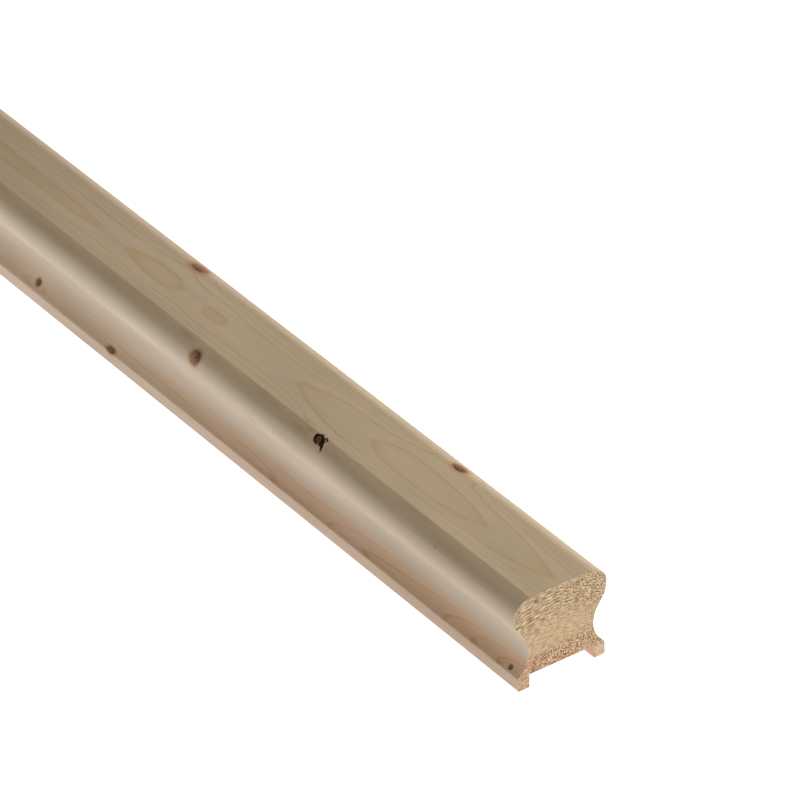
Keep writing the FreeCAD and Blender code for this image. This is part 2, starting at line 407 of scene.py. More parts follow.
# Each end is a close net of triangles that shares the rim's points with the planed skin.
END_STEP = 0.5
END_ROW_STEP = END_STEP * math.sqrt(3) / 2
END_JITTER = 0.12
RIM_ROOM = 0.3
RIM_SHARE = 0.5
grid = []
for r in range(int(HEIGHT / END_ROW_STEP)):
    for c in range(int(2 * HALF_CROWN / END_STEP)):
        y = -HALF_CROWN + (c + 0.5 * (r % 2)) * END_STEP + chance.uniform(-END_JITTER, END_JITTER)
        z = (r + 0.5) * END_ROW_STEP + chance.uniform(-END_JITTER, END_JITTER)
        grid.append((y, z))
grid = np.array(grid)
clear = np.ones(len(grid), bool)
for dy, dz in ((RIM_ROOM, 0), (-RIM_ROOM, 0), (0, RIM_ROOM), (0, -RIM_ROOM)):
    clear &= inside_section(grid[:, 0] + dy, grid[:, 1] + dz)
flat = [Vector(p) for p in section] + [Vector(p) for p in grid[clear]]
rim = [(j, (j + 1) % COLUMNS) for j in range(COLUMNS)]
INSIDE_ONLY = 1
SAME_POINT = 1e-6
net = geometry.delaunay_2d_cdt(flat, rim, [], INSIDE_ONLY, SAME_POINT)
flat_points, _, triangles, sources, _, _ = net

for end, row, k in ((-1, 0, 0), (1, ROWS - 1, -1)):
    rise = GRAIN_RISE[k][1]
    low_rise = LOW_RISE[k][1]
    number = []
    for place, source in zip(flat_points, sources):
        depth = sawn_depth(place.x, place.y, rise, low_rise, COMBED_SEED + end)
        on_rim = [s for s in source if s < COLUMNS]
        if on_rim:
            number.append(row * COLUMNS + on_rim[0])
            points[number[-1]][0] = end * (HALF_LENGTH - depth * RIM_SHARE)
            sawn[number[-1]] = depth
        else:
            number.append(len(points))
            points.append([end * (HALF_LENGTH - depth), place.x, place.y])
            sawn.append(depth)
            recess.append(0.0)
            bark.append(0.0)
    for triangle in triangles:
        faces.append(tuple(number[corner] for corner in triangle[::end]))

points = np.array(points)
mesh = bpy.data.meshes.new("pine_rail")
mesh.from_pydata((points * MM).tolist(), [], faces, shade_flat=False)
rail = bpy.data.objects.new("pine_rail", mesh)
bpy.context.scene.collection.objects.link(rail)
for name, values in (("recess", recess), ("bark", bark), ("sawn", sawn)):
    mesh.attributes.new(name, "FLOAT", "POINT").data.foreach_set("value", values)
is_end = np.arange(len(faces)) >= LONG_FACES
mesh.polygons.foreach_set("material_index", is_end.astype(np.int32))

# The corners of the section and the rims of the ends stay crisp.
ends = np.zeros(len(mesh.edges) * 2, np.int32)
mesh.edges.foreach_get("vertices", ends)
ends = ends.reshape(-1, 2)
column = ends % COLUMNS
row = ends // COLUMNS
on_skin = (ends < ROWS * COLUMNS).all(axis=1)
on_corner = on_skin & (column[:, 0] == column[:, 1]) & np.isin(column[:, 0], corners)
on_rim = on_skin & (row[:, 0] == row[:, 1]) & np.isin(row[:, 0], (0, ROWS - 1))
crisp = mesh.attributes.new("sharp_edge", "BOOLEAN", "EDGE")
crisp.data.foreach_set("value", on_corner | on_rim)

# The bake's map: the skin in three strips one above the other, and the two ends in the row that is left.
STRIPS = 3
STRIP_LENGTH = LENGTH / STRIPS
SHEET_GAP = 4.0
SHEET = STRIP_LENGTH + 2 * SHEET_GAP
low_x = np.repeat(stations[:-1], COLUMNS)
high_x = np.repeat(stations[1:], COLUMNS)
low_girth = np.tile(walked, ROWS - 1)
high_girth = np.tile(walked + steps, ROWS - 1)
strip = np.clip((low_x + HALF_LENGTH) // STRIP_LENGTH, 0, STRIPS - 1)[:, None]
u = np.stack([low_x, low_x, high_x, high_x], axis=1) + HALF_LENGTH - strip * STRIP_LENGTH
v = np.stack([low_girth, high_girth, high_girth, low_girth], axis=1)
v = v + strip * (PERIMETER + SHEET_GAP)
skin_map = np.stack([u, v], axis=-1).reshape(-1, 2)
corner_points = np.zeros(len(mesh.loops), np.int32)
mesh.loops.foreach_get("vertex_index", corner_points)
end_points = points[corner_points[len(skin_map):]]
u = end_points[:, 1] + HALF_CROWN + (end_points[:, 0] > 0) * (2 * HALF_CROWN + SHEET_GAP)
v = end_points[:, 2] + STRIPS * (PERIMETER + SHEET_GAP)
end_map = np.stack([u, v], axis=-1)
sheet = (np.concatenate([skin_map, end_map]) + SHEET_GAP) / SHEET
mesh.uv_layers.new(name="OFBake").data.foreach_set("uv", sheet.ravel())


def node(tree, kind, inputs=(), **settings):
    """Adds a node with its own settings, and gives its inputs values or links by name or number."""
    made = tree.nodes.new("ShaderNode" + kind)
    for name, value in settings.items():
        setattr(made, name, value)
    for key, value in dict(inputs).items():
        if isinstance(value, bpy.types.NodeSocket):
            tree.links.new(value, made.inputs[key])
        else:
            made.inputs[key].default_value = value
    return made


def linear(colour):
    """An sRGB hex colour as the linear values that shaders take."""
    parts = [int(colour[i:i + 2], 16) / 255 for i in (1, 3, 5)]
    return [p / 12.92 if p <= 0.04045 else ((p + 0.055) / 1.055) ** 2.4 for p in parts] + [1.0]


# Growth of the wood, shared by the planed faces and the ends: where late wood, heartwood and knots lie.
growth = bpy.data.node_groups.new("pine_growth", "ShaderNodeTree")
place = node(growth, "TexCoord").outputs["Object"]
spot = node(growth, "VectorMath", {0: place, "Scale": 1 / MM}, operation="SCALE").outputs[0]
x, y, z = node(growth, "SeparateXYZ", {0: spot}).outputs

# The rings' rise along the rail: at the top in two curves, so that each is fine enough, and low in one.
RISE_LOW = -5.0
RISE_RANGE = 8.0
rises = []
curves = []
for heights, low, high in (
    (GRAIN_RISE, -HALF_LENGTH, GRAIN_SPLIT), (GRAIN_RISE, GRAIN_SPLIT, HALF_LENGTH),
    (LOW_RISE, -HALF_LENGTH, HALF_LENGTH),
):
    stretch = [p for p in heights if low <= p[0] <= high]
    share = node(growth, "MapRange", {"Value": x, "From Min": low, "From Max": high}).outputs[0]
    curve = node(growth, "FloatCurve", {"Value": share})
    spots = [((p[0] - low) / (high - low), (p[1] - RISE_LOW) / RISE_RANGE) for p in stretch]
    curves.append((curve, spots))
    height = {0: curve.outputs[0], 1: RISE_RANGE, 2: RISE_LOW}
    rises.append(node(growth, "Math", height, operation="MULTIPLY_ADD").outputs[0])
split_rise = dict(GRAIN_RISE)[GRAIN_SPLIT]
rise = node(growth, "Math", {0: rises[0], 1: rises[1]}, operation="ADD").outputs[0]
rise = node(growth, "Math", {0: rise, 1: split_rise}, operation="SUBTRACT").outputs[0]
rise = {"Value": z, "From Min": LOW_Z, "From Max": HIGH_Z, "To Min": rises[2], "To Max": rise}
rise = node(growth, "MapRange", rise).outputs[0]

# The rings are a little wavy, by about a tenth of a millimetre, and no knot is a true oval.
WAVE = (1 / 110, 1 / 16, 1 / 16)
WAVE_HEIGHT = 0.12
stretched = node(growth, "VectorMath", {0: spot, 1: WAVE}, operation="MULTIPLY").outputs[0]
wave = node(growth, "TexNoise", {"Vector": stretched, "Scale": 1.0, "Detail": 2.0}).outputs["Fac"]
wave = node(growth, "MapRange", {"Value": wave, "To Min": -WAVE_HEIGHT, "To Max": WAVE_HEIGHT}).outputs[0]
JOG_SIZE = 4.0
JOG = 0.8
jog = node(growth, "TexNoise", {"Vector": spot, "Scale": 1 / JOG_SIZE, "Detail": 2.0}).outputs["Color"]
jog = node(growth, "VectorMath", {0: jog, 1: (0.5, 0.5, 0.5)}, operation="SUBTRACT").outputs[0]
jog = node(growth, "VectorMath", {0: jog, 1: (JOG, JOG, JOG), 2: spot}, operation="MULTIPLY_ADD").outputs[0]

# Soft clouds of lighter and darker wood lie along the rail, and so do its fibres. Real ones are finer than
# a tenth of a millimetre, and these are drawn as bundles of half a millimetre so that they show.
CLOUD = (1 / 90, 1 / 13, 1 / 13)
stretched = node(growth, "VectorMath", {0: spot, 1: CLOUD}, operation="MULTIPLY").outputs[0]
cloud = node(growth, "TexNoise", {"Vector": stretched, "Scale": 1.0, "Detail": 3.0}).outputs["Fac"]
FIBRE = (1 / 40, 1 / 0.6, 1 / 0.6)
stretched = node(growth, "VectorMath", {0: spot, 1: FIBRE}, operation="MULTIPLY").outputs[0]
fibre = node(growth, "TexNoise", {"Vector": stretched, "Scale": 1.0, "Detail": 3.0}).outputs["Fac"]

# Each knot is a long oval that points straight out of the planed face. It stains the wood round it, and
# the rings bulge out round it, further along the rail than across. A streak of resin only stains. Edges
# are in half sizes from the middle.
KNOT_REACH = 12.0
STAIN_EDGE = 2.2
STAIN_FULL = 0.9
TONE_EDGE = 1.3
TONE_FULL = 1.1
PULL_ALONG = 0.22
PULL_ROUND = 0.7
PULL_FADE = -1.1
FAR_AWAY = 9.0
nearest = FAR_AWAY
tone = 0.0
stain = 0.0
pull = 0.0
for knot in knots + resin:
    knot_y = float(np.interp(knot["girth"], girth, section[:, 0]))
    knot_z = float(np.interp(knot["girth"], girth, section[:, 1]))
    facing = [float(np.interp(knot["girth"], girth, outward[:, k])) for k in (0, 1)]
    local = node(growth, "Mapping", {
        "Vector": jog,
        "Location": (knot["x"], knot_y, knot_z),
        "Rotation": (math.atan2(-facing[0], facing[1]), 0, 0),
        "Scale": (knot["along"], knot["round"], KNOT_REACH),
    }, vector_type="TEXTURE").outputs[0]
    far = node(growth, "VectorMath", {0: local}, operation="LENGTH").outputs["Value"]
    spread = {"Value": far, "From Min": STAIN_EDGE, "From Max": STAIN_FULL, "To Max": knot["stain"]}
    spread = node(growth, "MapRange", spread, interpolation_type="SMOOTHSTEP").outputs[0]
    stain = node(growth, "Math", {0: stain, 1: spread}, operation="MAXIMUM").outputs[0]
    if knot in resin:
        continue
    nearest = node(growth, "Math", {0: nearest, 1: far}, operation="MINIMUM").outputs[0]
    lean = {0: local, 1: (knot["lean"][0], -knot["lean"][1], 0)}
    lean = node(growth, "VectorMath", lean, operation="DOT_PRODUCT").outputs["Value"]
    dark = {0: lean, 1: knot["tone"]}
    dark = node(growth, "Math", dark, operation="ADD", use_clamp=True).outputs[0]
    body = node(growth, "MapRange", {"Value": far, "From Min": TONE_EDGE, "From Max": TONE_FULL}).outputs[0]
    dark = node(growth, "Math", {0: dark, 1: body}, operation="MULTIPLY").outputs[0]
    tone = node(growth, "Math", {0: tone, 1: dark}, operation="MAXIMUM").outputs[0]
    wide = {0: local, 1: (PULL_ALONG, PULL_ROUND, PULL_ROUND)}
    wide = node(growth, "VectorMath", wide, operation="MULTIPLY").outputs[0]
    wide = node(growth, "VectorMath", {0: wide}, operation="LENGTH").outputs["Value"]
    lift = node(growth, "Math", {0: wide, 1: PULL_FADE}, operation="MULTIPLY").outputs[0]
    lift = node(growth, "Math", {0: lift}, operation="EXPONENT").outputs[0]
    pull = node(growth, "Math", {0: lift, 1: knot["pull"], 2: pull}, operation="MULTIPLY_ADD").outputs[0]

# Rings are counted from the pith, and their edges fray into the fibres. Each ring warms slowly to amber
# and ends sharply in a thin dark line of late wood, fainter in some years. The crowded outer rings make
# denser wood on the shoulders, a thin band of it on the far one, and near the end it spreads over the crown.
DENSE_FROM = 1.3
DENSE_FULL = 2.1
DENSE_WAVE = 8.0
NEAR_FROM = 850.0
NEAR_TO = 1250.0
NEAR_LOW = 26.0
NEAR_HIGH = 38.0
NEAR_MOST = 0.8
TOP_EDGE = 18.6
SHOULDER_EDGE = 19.6
TOP_DENSE = 0.2
FAR_FULL = 20.6
FAR_EDGE = 21.8
FRAY = 0.06
FAINT_YEAR = 0.7
LATE_LINE = [(0.0, 0.0), (0.8, 0.0), (0.88, 0.4), (0.94, 1.0), (0.975, 0.9), (1.0, 0.0)]
AMBER_SHADE = [(0.0, 0.0), (0.5, 0.03), (0.72, 0.3), (0.88, 0.75), (0.95, 1.0), (0.98, 0.8), (1.0, 0.0)]
flat_spot = {0: spot, 1: (0, 1, 1), 2: (0, -PITH_Y, -PITH_Z)}
from_pith = node(growth, "VectorMath", flat_spot, operation="MULTIPLY_ADD").outputs[0]
distance = node(growth, "VectorMath", {0: from_pith}, operation="LENGTH").outputs["Value"]
_, pith_y, pith_z = node(growth, "SeparateXYZ", {0: from_pith}).outputs
turn = node(growth, "Math", {0: pith_y, 1: pith_z}, operation="ARCTAN2").outputs[0]
arc_length = node(growth, "Math", {0: turn, 1: distance}, operation="MULTIPLY").outputs[0]
fray = {"Value": fibre, "To Min": -FRAY, "To Max": FRAY}
fray = node(growth, "MapRange", fray).outputs[0]
past = node(growth, "Math", {0: distance, 1: FIRST_LINE}, operation="SUBTRACT").outputs[0]
dense = node(growth, "Math", {0: wave, 1: DENSE_WAVE, 2: past}, operation="MULTIPLY_ADD").outputs[0]
dense = {"Value": dense, "From Min": DENSE_FROM, "From Max": DENSE_FULL}
dense = node(growth, "MapRange", dense).outputs[0]
near = {"Value": x, "From Min": NEAR_FROM, "From Max": NEAR_TO, "To Max": NEAR_MOST}
near = node(growth, "MapRange", near).outputs[0]
over = node(growth, "MapRange", {"Value": z, "From Min": NEAR_LOW, "From Max": NEAR_HIGH}).outputs[0]
near = node(growth, "Math", {0: near, 1: over}, operation="MULTIPLY").outputs[0]
dense = node(growth, "Math", {0: dense, 1: near}, operation="MAXIMUM").outputs[0]
front = {"Value": y, "From Min": -TOP_EDGE, "From Max": -SHOULDER_EDGE, "To Min": TOP_DENSE}
front = node(growth, "MapRange", front).outputs[0]
far = node(growth, "MapRange", {"Value": y, "From Min": TOP_EDGE, "From Max": SHOULDER_EDGE}).outputs[0]
edge = node(growth, "MapRange", {"Value": y, "From Min": FAR_EDGE, "From Max": FAR_FULL}).outputs[0]
far = node(growth, "Math", {0: far, 1: edge}, operation="MULTIPLY").outputs[0]
front = node(growth, "Math", {0: front, 1: far}, operation="MAXIMUM").outputs[0]
dense = node(growth, "Math", {0: dense, 1: front}, operation="MULTIPLY").outputs[0]
past = node(growth, "Math", {0: past, 1: wave}, operation="ADD").outputs[0]
past = node(growth, "Math", {0: past, 1: fray}, operation="ADD").outputs[0]
past = node(growth, "Math", {0: past, 1: pull}, operation="SUBTRACT").outputs[0]
crowded = node(growth, "Math", {0: past, 1: CROWD_REACH}, operation="DIVIDE").outputs[0]
crowded = node(growth, "Math", {0: crowded}, operation="EXPONENT").outputs[0]
rings = node(growth, "Math", {0: crowded, 1: CROWDING, 2: rise}, operation="MULTIPLY_ADD").outputs[0]
rings = node(growth, "Math", {0: past, 1: 1 / RING_WIDTH, 2: rings}, operation="MULTIPLY_ADD").outputs[0]
rings = node(growth, "Math", {0: rings, 1: RING_OFFSET - CROWDING}, operation="ADD").outputs[0]
phase = node(growth, "Math", {0: rings}, operation="FRACT").outputs[0]
year = node(growth, "Math", {0: rings}, operation="FLOOR").outputs[0]
strong = node(growth, "TexWhiteNoise", {"W": year}, noise_dimensions="1D").outputs["Value"]
strong = node(growth, "MapRange", {"Value": strong, "To Min": FAINT_YEAR}).outputs[0]
late = node(growth, "FloatCurve", {"Value": phase})
amber = node(growth, "FloatCurve", {"Value": phase})
curves += [(late, LATE_LINE), (amber, AMBER_SHADE)]
late = node(growth, "Math", {0: late.outputs[0], 1: strong}, operation="MULTIPLY").outputs[0]
amber = node(growth, "Math", {0: amber.outputs[0], 1: strong}, operation="MULTIPLY").outputs[0]

# Each curve passes through its own points, with handles that never overshoot them.
for curve, spots in curves:
    made = curve.mapping.curves[0].points
    while len(made) < len(spots):
        made.new(0.5, 0.5)
    for point, at in zip(made, spots):
        point.location = at
        point.handle_type = "AUTO_CLAMPED"
    curve.mapping.update()

# Heartwood is pinker. It reaches up from the base to about the bottom of the cove, higher and stronger
# towards the near end, patchy, and hardly into the legs. A noise lies mostly between its low and high.
HEART_START = 700.0
HEART_LOW = 17.0
HEART_HIGH = 18.5
HEART_WEAK = 0.4
HEART_TILT = 0.06
HEART_BLUR = 2.5
HEART_WAVE = 6.0
LEG_TOP = 5.5
LEG_SLANT = 3.0
LEG_IN = 20.0
LEG_OUT = 23.0
LEG_HEART = 0.5
LEG_EVEN = 20.0
NOISE_LOW = 0.3
NOISE_HIGH = 0.7
PATCH_MORE = 1.2
PATCH_LESS = 0.85
heart = {
    "Value": x, "From Min": HEART_START, "From Max": HALF_LENGTH,
    "To Min": HEART_LOW, "To Max": HEART_HIGH,
}
heart = node(growth, "MapRange", heart).outputs[0]
heart = node(growth, "Math", {0: y, 1: HEART_TILT, 2: heart}, operation="MULTIPLY_ADD").outputs[0]
heart = node(growth, "Math", {0: wave, 1: HEART_WAVE, 2: heart}, operation="MULTIPLY_ADD").outputs[0]
heart = node(growth, "Math", {0: heart, 1: z}, operation="SUBTRACT").outputs[0]
heart = {"Value": heart, "From Min": -HEART_BLUR, "From Max": HEART_BLUR}
heart = node(growth, "MapRange", heart, interpolation_type="SMOOTHSTEP").outputs[0]
strength = {"Value": x, "From Min": HEART_START, "From Max": HALF_LENGTH, "To Min": HEART_WEAK}
strength = node(growth, "MapRange", strength).outputs[0]
heart = node(growth, "Math", {0: heart, 1: strength}, operation="MULTIPLY").outputs[0]
aside = node(growth, "Math", {0: y}, operation="ABSOLUTE").outputs[0]
over = node(growth, "Math", {0: z, 1: LEG_TOP}, operation="SUBTRACT").outputs[0]
over = node(growth, "Math", {0: over, 1: 0.0}, operation="MAXIMUM").outputs[0]
leg = node(growth, "Math", {0: over, 1: -LEG_SLANT, 2: aside}, operation="MULTIPLY_ADD").outputs[0]
share = {"Value": y, "From Min": -LEG_EVEN, "From Max": LEG_EVEN, "To Min": LEG_HEART, "To Max": 0.0}
share = node(growth, "MapRange", share).outputs[0]
inner = {"Value": leg, "From Min": LEG_IN, "From Max": LEG_OUT, "To Min": 1.0, "To Max": share}
inner = node(growth, "MapRange", inner, interpolation_type="SMOOTHSTEP").outputs[0]
heart = node(growth, "Math", {0: heart, 1: inner}, operation="MULTIPLY").outputs[0]
patchy = {
    "Value": cloud, "From Min": NOISE_LOW, "From Max": NOISE_HIGH,
    "To Min": PATCH_MORE, "To Max": PATCH_LESS,
}
patchy = node(growth, "MapRange", patchy).outputs[0]
heart = node(growth, "Math", {0: heart, 1: patchy}, operation="MULTIPLY", use_clamp=True).outputs[0]

traits = dict(
    Late=late, Amber=amber, Dense=dense, Reach=distance, Arc=arc_length, Aside=aside, Heart=heart,
    Knot=nearest, Tone=tone, Stain=stain, Cloud=cloud, Fibre=fibre,
)
for name in traits:
    growth.interface.new_socket(name, in_out="OUTPUT", socket_type="NodeSocketFloat")
outlet = growth.nodes.new("NodeGroupOutput")
for name, value in traits.items():
    growth.links.new(value, outlet.inputs[name])

# Planed pine, bare: pale straw early wood, amber flames on the flat top, thin grey-brown lines of late wood,
# yellower shoulders, pinker heart, brown knots with a stain round them, and a dull silky sheen.
SAPWOOD = "#cdbca9"
AMBER = "#cab08f"
LATE_WOOD = "#b1a08b"
DENSE_WOOD = "#c3b097"
HEARTWOOD = "#d4b194"
LATE_HEART = "#bb8a5c"
KNOT_HALO = "#e2d2bb"
KNOT_STAIN = "#a9764f"
KNOT_PALE = "#9c745a"
KNOT_DARK = "#472d1e"
DEAD_BARK = "#5c4d3a"
PAINTED_RECESS_SHADE = "#26180b"
planed = bpy.data.materials.new("planed_pine")
planed.use_nodes = True
tree = planed.node_tree
wood = tree.nodes["Principled BSDF"]
grown = node(tree, "Group", node_tree=growth).outputs
colour = {0: grown["Heart"], 6: linear(SAPWOOD), 7: linear(HEARTWOOD)}
colour = node(tree, "Mix", colour, data_type="RGBA").outputs[2]

# The rings show most on the flat top, where the plane ran almost along them, amber in its middle and as
# thin lines beside that, which fade over the shoulders. The heart's lines are orange.
AMBER_IN = 8.0
AMBER_OUT = 15.0
AMBER_LEAST = 0.15
LINES_IN = 3.0
LINES_OUT = 10.0
LINES_LEAST = 0.15
LINES_MOST = 0.7
LINES_EDGE = 18.0
LINES_END = 20.5
LINES_SIDE = 0.3
LINES_HEART = 0.15
CLOUD_DARK = 0.91
CLOUD_LIGHT = 1.06
FIBRE_DARK = 0.97
FIBRE_LIGHT = 1.03
colour = {0: grown["Dense"], 6: colour, 7: linear(DENSE_WOOD)}
colour = node(tree, "Mix", colour, data_type="RGBA").outputs[2]
middle = {
    "Value": grown["Aside"], "From Min": AMBER_IN, "From Max": AMBER_OUT,
    "To Min": 1.0, "To Max": AMBER_LEAST,
}
middle = node(tree, "MapRange", middle).outputs[0]
share = node(tree, "Math", {0: grown["Amber"], 1: middle}, operation="MULTIPLY").outputs[0]
colour = node(tree, "Mix", {0: share, 6: colour, 7: linear(AMBER)}, data_type="RGBA").outputs[2]
inner = {
    "Value": grown["Aside"], "From Min": LINES_IN, "From Max": LINES_OUT,
    "To Min": LINES_LEAST, "To Max": LINES_MOST,
}
inner = node(tree, "MapRange", inner).outputs[0]
outer = {
    "Value": grown["Aside"], "From Min": LINES_EDGE, "From Max": LINES_END,
    "To Min": LINES_MOST, "To Max": LINES_SIDE,
}
outer = node(tree, "MapRange", outer).outputs[0]
outer = node(tree, "Math", {0: outer, 1: inner}, operation="MINIMUM").outputs[0]
outer = {0: grown["Heart"], 1: LINES_HEART, 2: outer}
outer = node(tree, "Math", outer, operation="MULTIPLY_ADD").outputs[0]
share = node(tree, "Math", {0: grown["Late"], 1: outer}, operation="MULTIPLY").outputs[0]
line = {0: grown["Heart"], 6: linear(LATE_WOOD), 7: linear(LATE_HEART)}
line = node(tree, "Mix", line, data_type="RGBA").outputs[2]
colour = node(tree, "Mix", {0: share, 6: colour, 7: line}, data_type="RGBA").outputs[2]
for trait, dark, light in (("Cloud", CLOUD_DARK, CLOUD_LIGHT), ("Fibre", FIBRE_DARK, FIBRE_LIGHT)):
    shade = {
        "Value": grown[trait], "From Min": NOISE_LOW, "From Max": NOISE_HIGH,
        "To Min": dark, "To Max": light,
    }
    shade = node(tree, "MapRange", shade).outputs[0]
    colour = node(tree, "VectorMath", {0: colour, "Scale": shade}, operation="SCALE").outputs[0]

# A knot has rings of its own and is mottled, with a pale halo and a stain round it. The dead one is grey,
# and the gap round it is painted black where it is deep, and so are the deepest patches of its plate:
# this is painted shade, darker the deeper the surface lies.
HALO_EDGE = 2.4
HALO_FULL = 1.1
HALO_MOST = 0.6
KNOT_RINGS = 20.0
KNOT_RING_TONE = 0.07
KNOT_EDGE = 1.2
KNOT_FULL = 0.75
MOTTLE = 1.6
MOTTLE_LESS = 0.5
MOTTLE_MORE = 1.5
RECESS_SHADE_FROM = 0.2
RECESS_SHADE_FULL = 0.5
halo = {"Value": grown["Knot"], "From Min": HALO_EDGE, "From Max": HALO_FULL, "To Max": HALO_MOST}
halo = node(tree, "MapRange", halo, interpolation_type="SMOOTHSTEP").outputs[0]
colour = node(tree, "Mix", {0: halo, 6: colour, 7: linear(KNOT_HALO)}, data_type="RGBA").outputs[2]
stained = {0: grown["Stain"], 6: colour, 7: linear(KNOT_STAIN)}
colour = node(tree, "Mix", stained, data_type="RGBA").outputs[2]
knot_rings = node(tree, "Math", {0: grown["Knot"], 1: KNOT_RINGS}, operation="MULTIPLY").outputs[0]
knot_rings = node(tree, "Math", {0: knot_rings}, operation="SINE").outputs[0]
knot_tone = {0: knot_rings, 1: KNOT_RING_TONE, 2: grown["Tone"]}
knot_tone = node(tree, "Math", knot_tone, operation="MULTIPLY_ADD").outputs[0]
place = node(tree, "TexCoord").outputs["Object"]
mottle = node(tree, "TexNoise", {"Vector": place, "Scale": 1 / (MOTTLE * MM), "Detail": 1.0}).outputs["Fac"]
mottle = {
    "Value": mottle, "From Min": NOISE_LOW, "From Max": NOISE_HIGH,
    "To Min": MOTTLE_LESS, "To Max": MOTTLE_MORE,
}
mottle = node(tree, "MapRange", mottle).outputs[0]
knot_tone = {0: knot_tone, 1: mottle}
knot_tone = node(tree, "Math", knot_tone, operation="MULTIPLY", use_clamp=True).outputs[0]
knot_colour = {0: knot_tone, 6: linear(KNOT_PALE), 7: linear(KNOT_DARK)}
knot_colour = node(tree, "Mix", knot_colour, data_type="RGBA").outputs[2]
body = {"Value": grown["Knot"], "From Min": KNOT_EDGE, "From Max": KNOT_FULL}
body = node(tree, "MapRange", body).outputs[0]
colour = node(tree, "Mix", {0: body, 6: colour, 7: knot_colour}, data_type="RGBA").outputs[2]
bare = node(tree, "Attribute", attribute_name="bark").outputs["Fac"]
colour = node(tree, "Mix", {0: bare, 6: colour, 7: linear(DEAD_BARK)}, data_type="RGBA").outputs[2]
# Painted shade: the colour goes to near black where the surface lies deep under the planed face.
sunk = node(tree, "Attribute", attribute_name="recess").outputs["Fac"]
recess_shade = node(tree, "MapRange", {"Value": sunk, "From Min": RECESS_SHADE_FROM, "From Max": RECESS_SHADE_FULL}).outputs[0]
colour = node(tree, "Mix", {0: recess_shade, 6: colour, 7: linear(PAINTED_RECESS_SHADE)}, data_type="RGBA").outputs[2]
tree.links.new(colour, wood.inputs["Base Color"])

# The plane left a dull silk that follows the fibres, with the hard lines of late wood a hair proud.
SILK = 0.45
DULL = 0.6
SHEEN = 0.1
LATE_PROUD = 0.5
FIBRE_RELIEF = 0.03
RELIEF_STRENGTH = 0.5
rough = node(tree, "MapRange", {"Value": grown["Fibre"], "To Min": SILK, "To Max": DULL}).outputs[0]
rough = node(tree, "Math", {0: rough, 1: recess_shade}, operation="MAXIMUM").outputs[0]
tree.links.new(rough, wood.inputs["Roughness"])
wood.inputs["Specular IOR Level"].default_value = SHEEN
height = {0: grown["Late"], 1: LATE_PROUD, 2: grown["Fibre"]}
height = node(tree, "Math", height, operation="MULTIPLY_ADD").outputs[0]
relief = {"Strength": RELIEF_STRENGTH, "Distance": FIBRE_RELIEF * MM, "Height": height}
relief = node(tree, "Bump", relief).outputs[0]
tree.links.new(relief, wood.inputs["Normal"])
mesh.materials.append(planed)

# Sawn pine end: the same rings cut across, brown and strong near the top. The saw combed streaks along them,
# brown in the furrows and whiter on the fibres it raised, which run into grit towards +Y and in the heart,
# and it tore pits, painted darker the deeper they go: partly the torn wood's brown, partly painted shade.
# Real marks are finer: these are drawn half a millimetre wide so that they show.
END_PALE = "#dfc19a"
END_LATE = "#7d4f28"
END_HEART = "#d0a280"
END_TORN_AND_SHADE = "#7f522b"
END_FURROW = "#8a5a28"
END_FIBRE_AND_REFLECTION = "#f6e6c8"
UPPER_FROM = 50.0
UPPER_FULL = 62.0
RINGS_LOW = 0.3
RINGS_MORE = 0.6
TORN_SHADE_FROM = 0.26
TORN_SHADE_FULL = 0.4
TORN_SHADE_MOST = 0.28
STREAK_LONG = 4.2
STREAK_SHORT = 0.5
GRIT = 0.58
GRIT_LEAST = 0.12
GRIT_MOST = 0.7
GRIT_HEART = 0.55
MARKS_FAINT = 0.45
MARKS_STRONG = 0.88
FURROW_FROM = 0.48
FURROW_FULL = 0.41
RAISED_FROM = 0.52
RAISED_FULL = 0.59
LEG_REFLECTION_FROM = 9.0
LEG_REFLECTION_FULL = 6.0
LEG_REFLECTION_LEAST = 0.08
LEG_REFLECTION_MOST = 0.32
SAWN_DULL = 0.9
SAWN_SHEEN = 0.05
sawn_pine = bpy.data.materials.new("sawn_pine_end")
sawn_pine.use_nodes = True
tree = sawn_pine.node_tree
wood = tree.nodes["Principled BSDF"]
grown = node(tree, "Group", node_tree=growth).outputs
colour = {0: grown["Heart"], 6: linear(END_PALE), 7: linear(END_HEART)}
colour = node(tree, "Mix", colour, data_type="RGBA").outputs[2]
upper = {"Value": grown["Reach"], "From Min": UPPER_FROM, "From Max": UPPER_FULL}
upper = node(tree, "MapRange", upper).outputs[0]
share = node(tree, "Math", {0: upper, 1: RINGS_MORE, 2: RINGS_LOW}, operation="MULTIPLY_ADD").outputs[0]
share = node(tree, "Math", {0: grown["Amber"], 1: share}, operation="MULTIPLY").outputs[0]
colour = node(tree, "Mix", {0: share, 6: colour, 7: linear(END_LATE)}, data_type="RGBA").outputs[2]
# Painted shade in the pits, with the torn wood's own brown: darker the deeper the saw cut.
cut = node(tree, "Attribute", attribute_name="sawn").outputs["Fac"]
torn_and_shade = {"Value": cut, "From Min": TORN_SHADE_FROM, "From Max": TORN_SHADE_FULL, "To Max": TORN_SHADE_MOST}
torn_and_shade = node(tree, "MapRange", torn_and_shade).outputs[0]
colour = node(tree, "Mix", {0: torn_and_shade, 6: colour, 7: linear(END_TORN_AND_SHADE)}, data_type="RGBA").outputs[2]
streak_spot = node(tree, "CombineXYZ", {0: grown["Arc"], 1: grown["Reach"]}).outputs[0]
streak_scale = (1 / STREAK_LONG, 1 / STREAK_SHORT, 1)
streak_spot = node(tree, "VectorMath", {0: streak_spot, 1: streak_scale}, operation="MULTIPLY").outputs[0]
streak = node(tree, "TexNoise", {"Vector": streak_spot, "Scale": 1.0, "Detail": 1.0}).outputs["Fac"]
place = node(tree, "TexCoord").outputs["Object"]
grit = node(tree, "TexNoise", {"Vector": place, "Scale": 1 / (GRIT * MM), "Detail": 1.0}).outputs["Fac"]
_, place_y, place_z = node(tree, "SeparateXYZ", {0: place}).outputs
